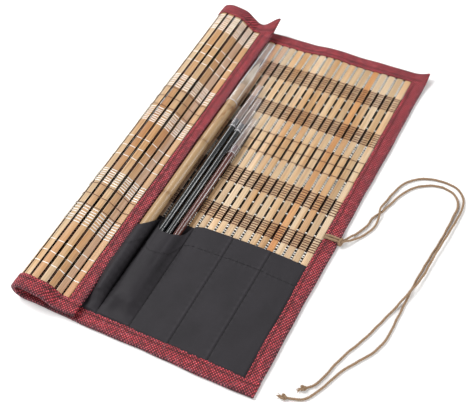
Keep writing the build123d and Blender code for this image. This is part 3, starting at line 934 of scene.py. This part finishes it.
def relax(points, pinned, steps):
    """Cloth simulation of the front panel over the brushes and the lining: Verlet steps."""
    points = points.copy()
    links = cloth_links(points)
    free = np.ones(points.shape[:2])
    free[pinned, :] = 0
    free[:, :2] = 0
    previous = points.copy()
    uneven = rng.standard_normal(free.shape)
    for _ in range(30):
        uneven[1:-1, 1:-1] = (uneven[1:-1, 1:-1] + uneven[:-2, 1:-1] + uneven[2:, 1:-1]
                              + uneven[1:-1, :-2] + uneven[1:-1, 2:]) / 5
    uneven /= np.abs(uneven).max()
    points[..., 2] += 0.34 * (uneven + 0.25) * free * unit((points[..., 1] - 24) / 12)
    damping, gravity = 0.93, 0.003
    for _ in range(steps):
        velocity = (points - previous) * damping
        previous = points.copy()
        points = points + velocity * free[..., None]
        points[..., 2] -= gravity * free
        for _ in range(2):
            for first, second, rest, active, stiffness in links:
                gap = points[second] - points[first]
                length = np.linalg.norm(gap, axis=-1)
                free1, free2 = free[first], free[second]
                both = np.where(free1 + free2 > 0, free1 + free2, 1)
                pull = stiffness * (length - rest) / np.maximum(length, 1e-9) / both * active
                pull = pull[..., None] * gap
                points[first] = points[first] + pull * free1[..., None]
                points[second] = points[second] - pull * free2[..., None]
        push_off_handles(points, margin=0.32)
        push_off_arch(points)
        points[..., 2] = np.maximum(points[..., 2], PIN_Z)
    # the cloth over the handle ends hangs in soft slopes, without creases
    share = unit((56.0 - points[..., 1]) / 14.0)[..., None] * free[..., None]
    points = soften(points, share, 26)
    push_off_handles(points, margin=0.12)
    return soften(points, share, 3)


def refine(points):
    """Twice as many steps along the second axis, on a Catmull-Rom curve."""
    count = points.shape[1]
    t = np.linspace(0, count - 1, (count - 1) * 2 + 1)
    i = np.minimum(t.astype(int), count - 2)
    return catmull_rom(points[:, np.maximum(i - 1, 0)], points[:, i], points[:, i + 1],
                       points[:, np.minimum(i + 2, count - 1)], (t - i)[None, :, None])


def surface_normals(points):
    normal = np.cross(np.gradient(points, axis=0), np.gradient(points, axis=1))
    return normal / np.maximum(np.linalg.norm(normal, axis=-1), 1e-12)[..., None]


panel, pinned = pocket_grid()
panel = relax(panel, pinned, 220)
# finer steps so that the hem, its stitch line and the seams read as real steps
for _ in range(2):
    panel = refine(panel).transpose(1, 0, 2)
seam_columns = [column * 2 for column in pinned]
middle_x = panel[:, panel.shape[1] // 2, 0]
last_column = len(panel) - 1

to_mouth = panel[:, -1:, 1] - panel[..., 1]
hem = 1 / (1 + np.exp((to_mouth - 18.2) / 0.22))              # folded hem, double cloth
hem_groove = bell(to_mouth - HEM_LINE, 0.42)
lip = bell(to_mouth, 0.5)
seam_groove, seam_roll, pucker = (np.zeros(to_mouth.shape) for _ in range(3))
for number, column in enumerate(seam_columns):
    left_of_seam = panel[column, :, 0] - panel[..., 0]
    distance = np.abs(left_of_seam)
    seam_groove = np.maximum(seam_groove, bell(distance, 0.45))
    if number in (3, 4):                # the cloth stands up a little on the left of these
        seam_roll = np.maximum(seam_roll, bell(left_of_seam - 1.5, 0.7))
    if 0 < number < len(seam_columns) - 1:
        phase = random.uniform(0, 6.28)
        y = panel[..., 1]
        pucker += (bell(distance, 3.2) * unit(distance / 0.9) * 0.13
                   * np.sin(y * 1.25 + phase + 1.1 * np.sin(y * 0.23 + phase)))
hem_pucker = (bell(to_mouth - HEM_LINE, 2.2) * 0.08
              * np.sin(panel[..., 0] * 1.35 + 0.8 * np.sin(panel[..., 0] * 0.31)))
normals = surface_normals(panel)
thickness = (0.42 + 0.30 * hem - 0.15 * hem_groove - 0.16 * lip - 0.30 * seam_groove
             + 0.16 * seam_roll + pucker + hem_pucker)
outer = panel + normals * thickness[..., None]
inner = panel + normals * 0.02
outer[..., 2] = np.maximum(outer[..., 2], PIN_Z + 0.12)
# the near and right edges are tucked under the binding
outer[..., 2] -= 0.55 * ease(np.maximum(unit((11.7 - outer[..., 1]) / 1.2),
                                        unit((outer[..., 0] + 0.9) / 1.2)))
outer_normals = surface_normals(outer)
# painted shade and painted highlight: a touch lighter on the ridges (seam rolls, risen halves of
# the puckers), darker in the seam and hem grooves and the dips of the puckers
cloth_painted_shading = (1.0 - 0.50 * seam_groove + 0.22 * seam_roll - 0.16 * hem_groove
              + 0.8 * pucker)[..., None]


def sheet(mesh, top, bottom, edges, tint):
    """Two layers joined along edges (index of the edge's points, flip)."""
    rows_, columns = top.shape[:2]
    count = rows_ * columns
    ids = np.arange(count).reshape(rows_, columns)
    quads = [grid(rows_, columns), grid(rows_, columns, flip=True) + count]
    for index, flip in edges:
        line = ids[index]
        rim = np.stack([line[:-1], line[1:], line[1:] + count, line[:-1] + count], 1)
        quads.append(rim[:, ::-1] if flip else rim)
    mesh.add(np.stack([top, bottom]), np.concatenate(quads), None, tint)


def machine_stitches(mesh, line, start, margin, rise):
    along = path_lengths(line)
    for first in np.arange(start, along[-1] - margin, 2.7):
        t = np.linspace(first, first + 1.9, 5)
        path = np.stack([np.interp(t, along, line[:, axis]) for axis in range(3)], 1)
        path[:, 2] += 0.10 * np.sin(np.linspace(0, math.pi, 5)) + rise
        tube(mesh, path, 0.15, 5, 0.45)


def pocket_piece(left, right, joint):
    """Columns left to right of the panel, their lining and stitches."""
    first, last = left == 0, right == last_column
    span = slice(left, right + 1)
    mesh = Mesh()
    edges = [(np.s_[:, -1], True), (np.s_[:, 0], False)]
    if first:
        edges.append((np.s_[0], True))
    if last:
        edges.append((np.s_[-1], False))
    tint = cloth_painted_shading[span]
    # the inner face is painted at 0.8 of the outer face: painted shade inside the pocket
    sheet(mesh, outer[span], inner[span], edges, np.stack([tint, tint * 0.8]))
    # lining on the slats, painted at 0.85 of the cloth's tone: painted shade under the front panel
    start, end = middle_x[left], middle_x[right]
    x, y = np.meshgrid(np.linspace(start, end, max(3, int((end - start) / 2.2))),
                       np.linspace(POCKET_NEAR + 0.1, 98.0, 24), indexing="ij")
    top, bottom = (np.stack([x, y, np.full_like(x, z)], -1) for z in (2.86, 2.56))
    sheet(mesh, top, bottom, [(np.s_[:, -1], True)], 0.85)
    for column in seam_columns:
        if left <= column < right or (last and column == right):
            machine_stitches(mesh, outer[column], start=1.0, margin=1.5, rise=0.02)
    hem_rows = np.abs(to_mouth[span] - HEM_LINE).argmin(1)
    machine_stitches(mesh, outer[np.arange(left, right + 1), hem_rows], start=0.3, margin=2.0,
                     rise=0.03)
    obj = mesh.build(f"pocket_{NAMES[joint]}_{NAMES[joint + 1]}", CLOTH)

    # shared normals keep the cloth smooth from piece to piece
    cloth = outer_normals[span].reshape(-1, 3)
    up = np.tile([0, 0, 1.0], (x.size, 1))
    known = np.concatenate([cloth, -cloth, up, -up])
    every = np.array([vertex.normal[:] for vertex in obj.data.vertices])
    every[:len(known)] = known
    obj.data.normals_split_custom_set_from_vertices([tuple(normal) for normal in every])
    # for the first piece the joint point is taken 1.3 mm right, just beyond the seam
    bend_at_joint(obj, joint, y=60.0, ahead=1.3 if first else 0.0)
    replaced = NAMES[joint:joint + 2] if first else [NAMES[joint + 1]]
    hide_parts(*(f"pocket_{strip_name}" for strip_name in replaced))


base_joint = NAMES.index("base")
bounds = [0] + [int(np.argmin(np.abs(middle_x - cut))) for cut in CUTS[base_joint + 1:-1]]
bounds.append(last_column)
for number, (left, right) in enumerate(zip(bounds, bounds[1:])):
    pocket_piece(left, right, base_joint + number)


# ------------------------------------------------------------------ brushes
def around(brush, radius, y, angle):
    """Points round the axis of a brush."""
    radius, y, angle = np.broadcast_arrays(radius, y, angle)
    return np.stack([brush.x + radius * np.cos(angle), y, brush.z + radius * np.sin(angle)], -1)


def lathe(mesh, brush, profile, sides, tint=1.0):
    """Turned body about the axis of a brush; profile is (radius, y)."""
    profile = np.array(profile, float)
    rings = around(brush, profile[:, :1], profile[:, 1:], ring_angles(sides))
    loft(mesh, rings, tint, start=profile[0, 0] > 1e-6, end=profile[-1, 0] > 1e-6)


# handle material and slot
HANDLES = {"natural": (BRUSH_BAMBOO, "brush_bamboo"), "black_a": (BLACK, "black_lacquer"),
           "black_b": (BLACK, "black_lacquer"), "brown": (BROWN, "brown_lacquer")}
NODES = [(58.0, 1.0), (112.0, 1.0), (166.0, 1.0), (205.0, 0.8)]     # bamboo nodes: y, strength


def handle(name, brush):
    end = brush.end
    y = np.concatenate([HANDLE_START + np.array([0, 0.15, 0.5]),
                        np.linspace(HANDLE_START + 1.5, end - 1.5, 190),
                        [end - 0.6, end - 0.2, end]])
    radius = brush.radius * handle_taper(y)
    radius[:2] = radius[2] - 0.5, radius[2] - 0.2
    radius[-2:] = brush.radius - 0.12, brush.radius - 0.4
    tints = np.ones((len(y), 3))
    if name == "natural":
        for node_y, strength in NODES:
            past = y - node_y
            radius += strength * (0.03 * bell(past + 0.5, 0.7) - 0.10 * bell(past - 0.9, 0.8))
            shade = 0.42 * bell(past - 0.6, 0.7) + 0.18 * bell(past, 3.5)
            tints *= 1 - strength * shade[:, None] * np.array((0.8, 1.0, 1.2))
        radius[-3:] -= 0.05
    radius = np.minimum(radius, brush.radius)
    profile = [(0.0, HANDLE_START), *zip(radius, y), (brush.tuft - 0.1, end),
               (brush.tuft - 0.15, end - 3.0)]
    # the socket round the tuft is painted darker, to half the handle's tone at its rim and a third
    # at its bottom: painted shade in the hole
    tints = np.array([tints[0], *tints, tints[-1] * 0.5, tints[-1] * 0.3])
    mesh = Mesh()
    lathe(mesh, brush, profile, 36, tints[:, None])
    material, slot = HANDLES[name]
    obj = mesh.build(f"brush_handle_{name}", material, angle=40)
    attach(obj, f"brush_{name}", slot, f"handle_{name}")


def bristles(name, brush):
    """A core and separate hairs gathered to the tip."""
    natural = name == "natural"
    end, tip, tuft = brush.end, brush.tip, brush.tuft
    span = tip - end
    outline_y = [end - 5.5, end + 0.1, end + 0.12 * span, end + 0.35 * span, end + 0.65 * span,
                 end + 0.88 * span, tip]
    outline = [tuft - 0.35, tuft - 0.3, tuft * 0.97, tuft, tuft * 0.72, tuft * 0.33, 0.08]
    core_y = np.linspace(end - 5.4, tip - 0.6, 26)
    core = np.interp(core_y, outline_y, outline) * 0.93
    tones = np.tile((0.98, 0.99, 1.04) if natural else (0.86, 0.84, 0.80), (26, 1))
    if natural:                            # darker towards the handle
        root = unit((tip - 20.0 - core_y) / 6.0)[:, None]
        tones = np.array((0.62, 0.50, 0.36)) * root + tones * (1 - root)
    mesh = Mesh()
    # the core is painted at 0.9 of the hairs' tone: painted shade among the hairs
    lathe(mesh, brush, [(0.0, core_y[0]), *zip(core, core_y), (0.0, tip - 0.2)], 20,
          np.array([tones[0], *(tones * 0.9), tones[-1]])[:, None])
    t = np.linspace(0, 1, 9)
    for _ in range(260 if natural else 150):
        start = random.uniform(0, 2 * math.pi)
        y = (end - 0.5) + (span + 0.3) * random.uniform(0.82, 1.0) * t
        radius = np.interp(y, outline_y, outline) * random.uniform(0.93, 1.0)
        angle = start + 0.12 * np.sin(t * random.uniform(1, 4) + start)
        tone = np.stack([np.interp(y, core_y, tones[:, i]) for i in range(3)], 1)
        tone *= random.uniform(0.78, 1.08)
        thick = 0.10 if natural else 0.08
        tube(mesh, around(brush, radius, y, angle), thick * (1 - 0.75 * t), 3, tone[:, None],
             capped=False)
    obj = mesh.build(f"bristles_{name}", PALE_HAIR if natural else DARK_HAIR, angle=70)
    attach(obj, f"brush_{name}", "pale_bristle" if natural else "dark_bristle", f"tuft_{name}")


def cap(name, brush):
    """Clear cap: rolled rim, plain barrel, long taper and small rounded nose."""
    start, end, rim = brush.cap_start, brush.cap_end, brush.rim
    bore = brush.radius + 0.12
    barrel = bore + 0.28
    nose = bore * 0.72
    taper = np.linspace(brush.end + 2, end - 2.2, 14)
    profile = [(bore, start + 0.1), (rim - 0.12, start), (rim, start + 0.25),
               (rim, start + 0.85), (rim - 0.1, start + 1.1), (barrel, start + 1.45)]
    profile += [(barrel, y) for y in np.linspace(start + 2.2, brush.end + 1.5, 5)]
    profile += [(barrel + (nose + 0.3 - barrel) * (y - taper[0]) / (taper[-1] - taper[0]), y)
                for y in taper]
    profile += [(nose - 0.05, end - 1.5), (nose - 0.45, end - 0.8), (nose - 1.0, end - 0.3),
                (0.35, end - 0.03), (0.0, end)]
    mesh = Mesh()
    lathe(mesh, brush, profile, 40)
    # moulding ribs inside the wall catch the light along the barrel
    wall = np.array(profile[5:-3])
    for middle, half in ((-0.35, 0.16), (2.75, 0.22)):
        angles = np.linspace(middle - half, middle + half, 4)
        mesh.add(around(brush, wall[:, :1] * 0.93, wall[:, 1:], angles), grid(len(wall), 4))
    lathe(mesh, brush, [(bore - 0.02, start + 0.15), (rim - 0.2, start + 0.1),
                        (rim - 0.1, start + 0.5), (rim - 0.2, start + 0.95),
                        (bore + 0.1, start + 1.2)], 40)
    obj = mesh.build(f"clear_cap_{name}", CLEAR, angle=60)

    # painted highlights: near-white strips along the barrel and a near-white ring round the rolled
    # rim stand in for the glints on the clear plastic
    mesh = Mesh()
    wall = wall[1:]
    for middle, half in ((2.02, 0.055), (0.62, 0.035)):
        radius = wall[:, :1] + 0.03 + np.array([0.0, 0.05, 0.0])
        mesh.add(around(brush, radius, wall[:, 1:], middle + half * np.array([-1, 0, 1])),
                 grid(len(wall), 3, flip=True))
    tube(mesh, around(brush, rim, start + 0.55, np.linspace(0, 2 * math.pi, 49)), 0.16, 5)
    lines = mesh.build(f"cap_moulding_lines_{name}", CAP_HIGHLIGHT, angle=60)
    attach(lines, f"cap_{name}", "clear_cap")
    attach(obj, f"cap_{name}", "clear_cap", f"cap_{name}")


for name, brush in BRUSHES.items():
    handle(name, brush)
    bristles(name, brush)
    cap(name, brush)

# --------------------------------------------------------------------- cord
# one turn of the hitch round the right edge: x, distance from the middle of the hitch, z
HITCH = [(13.4, 0.5, 2.2), (12.3, 1.05, 3.6), (9.5, 1.05, 4.25), (5.5, 1.2, 4.35),
         (2.2, 1.05, 4.15), (0.75, 1.05, 3.2), (0.55, 1.05, 1.6), (1.7, 1.05, 0.75),
         (5.0, 1.05, 0.62), (9.0, 1.05, 0.62), (11.6, 1.05, 0.9), (12.6, 1.05, 2.0),
         (12.2, 0.63, 3.3)]
# the two tails on the table, after their start at the hitch (x, y); they cross once
# between the hitch and the first bend
TAIL_A = [(21.7, 147.1), (23.3, 156.5), (27.6, 166.0), (29.6, 172.6), (34.6, 186.3),
          (42.2, 195.8), (53.9, 201.1), (65.2, 199.3), (71.8, 191.6), (72.6, 180.4),
          (71.9, 158.6), (70.0, 138.9), (68.6, 118.7), (68.4, 101.1), (68.2, 87.9), (67.8, 73.5),
          (64.5, 61.5), (57.7, 50.3), (51.5, 40.1), (47.2, 29.0), (41.7, 17.1), (36.4, 12.4),
          (28.2, 9.9)]
TAIL_B = [(19.5, 135.0), (26.3, 146.6), (27.4, 157.5), (25.4, 167.0), (28.9, 187.1),
          (34.3, 197.6), (43.8, 204.1), (55.9, 206.2), (67.4, 203.9), (74.0, 196.0),
          (75.8, 186.1), (75.0, 169.3), (72.7, 145.0), (71.5, 124.9), (68.5, 110.0),
          (65.7, 100.6), (61.0, 85.3), (56.0, 69.0), (49.7, 53.5), (45.8, 41.6), (43.6, 32.5),
          (40.6, 25.0), (36.2, 20.5)]
TAIL_Z = 1.05                          # height of a tail's axis on the table


def hitch():
    """Two turns round the edge, flattened under the mat, and a ring round both."""
    mesh = Mesh()
    for side in (1, -1):
        path = smooth_path([(x, CORD_Y + side * offset, z) for x, offset, z in HITCH], 0.35)
        low = unit((1.6 - path[:, 2]) / 0.8)
        for ply, _, outward in plies(path, lay=4.6):
            offset = outward * 0.48
            offset[:, 2] *= 1 - 0.75 * low
            tube(mesh, path + offset, 0.55 * (1 - 0.45 * low), 6, CORD_TINT * (0.92 + 0.05 * ply))
    ring = [(12.1 + 0.35 * math.sin(2 * a), CORD_Y + 2.35 * math.cos(a), 3.05 + 1.75 * math.sin(a))
            for a in np.linspace(0, 2 * math.pi, 25)]
    rope(mesh, smooth_path(ring, 0.35), 0.95, lay=4.6)
    attach(mesh.build("cord_hitch", CORD, angle=80), "roll_7", "cord", "cord_loop")


def tail(points, start, under=None):
    """Path of a tail; it climbs over the path under where they meet."""
    path = smooth_path([start] + [(x, y, TAIL_Z) for x, y in points], 0.8)
    path[12:, 2] = TAIL_Z
    # tiny kinks of a soft cord
    fade = unit(np.arange(len(path)) / 20)
    path[:, 0] += 0.10 * np.sin(path[:, 1] * 0.55) * fade
    path[:, 1] += 0.08 * np.sin(path[:, 0] * 0.8) * fade
    if under is not None:
        apart = np.linalg.norm(path[:, None, :2] - under[None, :, :2], axis=-1).min(1)
        path[:, 2] += 2.15 * unit(1 - (apart - 1.2) / 2.6)
        z = path[:, 2]
        for _ in range(10):
            z[1:-1] = np.maximum(z[1:-1], (z[:-2] + z[2:]) / 2 * 0.98)
            z[1:-1] = (z[:-2] + 2 * z[1:-1] + z[2:]) / 4
    return path


def end_knot(mesh, path):
    """Overhand knot and frayed end."""
    ahead = path[-1] - path[-6]
    ahead[2] = 0
    ahead /= np.linalg.norm(ahead)
    side = np.array([-ahead[1], ahead[0], 0])
    up = np.array([0, 0, 1.0])
    centre = path[-1] + ahead * 0.8
    centre[2] = 1.75
    t = np.linspace(0, 2 * math.pi, 60)[:, None]
    knot = (centre + ahead * (0.55 * (np.sin(t) + 2 * np.sin(2 * t)))
            + side * (0.5 * (np.cos(t) - 2 * np.cos(2 * t))) + up * (-0.55 * np.sin(3 * t)))
    rope(mesh, knot, 0.72, lay=4.0, sides=5)
    t = np.linspace(0, 1, 5)[:, None]
    for _ in range(16):
        angle = random.uniform(-0.55, 0.55)
        length = random.uniform(2.2, 4.4)
        outward = ahead * math.cos(angle) + side * math.sin(angle)
        fibre = (centre + ahead * 0.6 + outward * length * t
                 + up * (-0.9 * t ** 2 + random.uniform(-0.4, 0.5) * t))
        fibre[:, 2] = np.maximum(fibre[:, 2], 0.25)
        tube(mesh, fibre, 0.14, 4, (1.1, 1.08, 1.02))


hitch()
mesh = Mesh()
tail_a = tail(TAIL_A, (12.9, CORD_Y + 0.9, 2.6))
tail_b = tail(TAIL_B, (12.9, CORD_Y - 0.9, 2.6), under=tail_a)
for path in (tail_a, tail_b):
    rope(mesh, path, 0.80, lay=4.2)
    end_knot(mesh, path)
attach(mesh.build("cord_tails_rope", CORD, angle=80), "cord", "cord", "cord_tails")

# --------------------------------------- stage, light and camera (metres)
scene = bpy.context.scene
scene.view_settings.view_transform = "Standard"
scene.view_settings.look = "None"
scene.view_settings.exposure = 0.0
WHITE = (1, 1, 1)


def floor_material():
    """Matt floor that runs out into plain white away from the object."""
    m = new_material("floor")
    m.surface({"Base Color": (0.93, 0.93, 0.93), "Roughness": 0.9, "Specular IOR Level": 0.1})
    far = m.node("Emission", {"Color": WHITE, "Strength": 1.0})
    position = m.node("NewGeometry").outputs["Position"]
    distance = m.node("VectorMath", {0: position}, operation="LENGTH").outputs["Value"]
    fade = m.node("MapRange", {"From Min": 0.36, "From Max": 0.62, "Value": distance},
                  interpolation_type="SMOOTHSTEP").outputs["Result"]
    seen = m.node("LightPath").outputs["Is Camera Ray"]
    near = m.tree.nodes["Principled BSDF"].outputs[0]
    mixed = m.node("MixShader", {0: m.math("MULTIPLY", fade, seen), 1: near,
                                 2: far.outputs[0]})
    m.feed_all(m.tree.nodes["Material Output"], {"Surface": mixed.outputs[0]})
    return m.owner


bpy.ops.mesh.primitive_plane_add(size=6, location=(0, 0, -0.00002))
floor = bpy.context.object
floor.name = "floor"
floor.data.materials.append(floor_material())

# soft white light; the camera sees plain white
world = Shader(bpy.data.worlds.new("studio"))
light = world.tree.nodes["Background"]
world.feed_all(light, {"Color": WHITE, "Strength": 0.40})
backdrop = world.node("Background", {"Color": WHITE, "Strength": 1.0})
camera_ray = world.node("LightPath").outputs["Is Camera Ray"]
mixed = world.node("MixShader", {0: camera_ray, 1: light.outputs[0], 2: backdrop.outputs[0]})
world.feed_all(world.tree.nodes["World Output"], {"Surface": mixed.outputs[0]})
scene.world = world.owner

# area lights: name, place, target, size, watts; the two narrow strips beyond the far end
# draw the thin highlights along the round handles and caps
LIGHTS = [("key", (-0.80, 0.10, 0.95), (-0.05, 0.15, 0), (0.5, 0.7), 14.0),
          ("fill", (0.95, -0.45, 0.62), (-0.05, 0.15, 0), (0.6, 0.6), 8.0),
          ("strip_left", (-0.71, 0.77, 0.79), (-0.10, 0.15, 0), (0.11, 0.9), 3.6),
          ("strip_right", (0.82, 0.72, 0.30), (-0.10, 0.15, 0), (0.09, 0.9), 3.0)]
for name, location, target, size, watts in LIGHTS:
    lamp = bpy.data.lights.new(name, "AREA")
    lamp.shape = "RECTANGLE"
    lamp.size, lamp.size_y = size
    lamp.energy = watts
    obj = bpy.data.objects.new(name, lamp)
    obj.location = location
    aim = Vector(target) - Vector(location)
    obj.rotation_euler = aim.to_track_quat("-Z", "Y").to_euler()
    scene.collection.objects.link(obj)

lens = bpy.data.cameras.new("camera")
lens.sensor_fit = "HORIZONTAL"
lens.sensor_width = 36.0
lens.lens = 71.48
lens.clip_start, lens.clip_end = 0.02, 20
camera = bpy.data.objects.new("camera", lens)
scene.collection.objects.link(camera)
# the camera's own axes: right, up and backwards
CAMERA_AXES = ((0.880679, 0.465335, -0.088694),
               (-0.315358, 0.715628, 0.623238),
               (0.353487, -0.520902, 0.776986))
pose = Matrix(CAMERA_AXES).transposed().to_4x4()
pose.translation = Vector((165.082, -213.802, 517.303)) * MM
camera.matrix_world = pose
scene.camera = camera
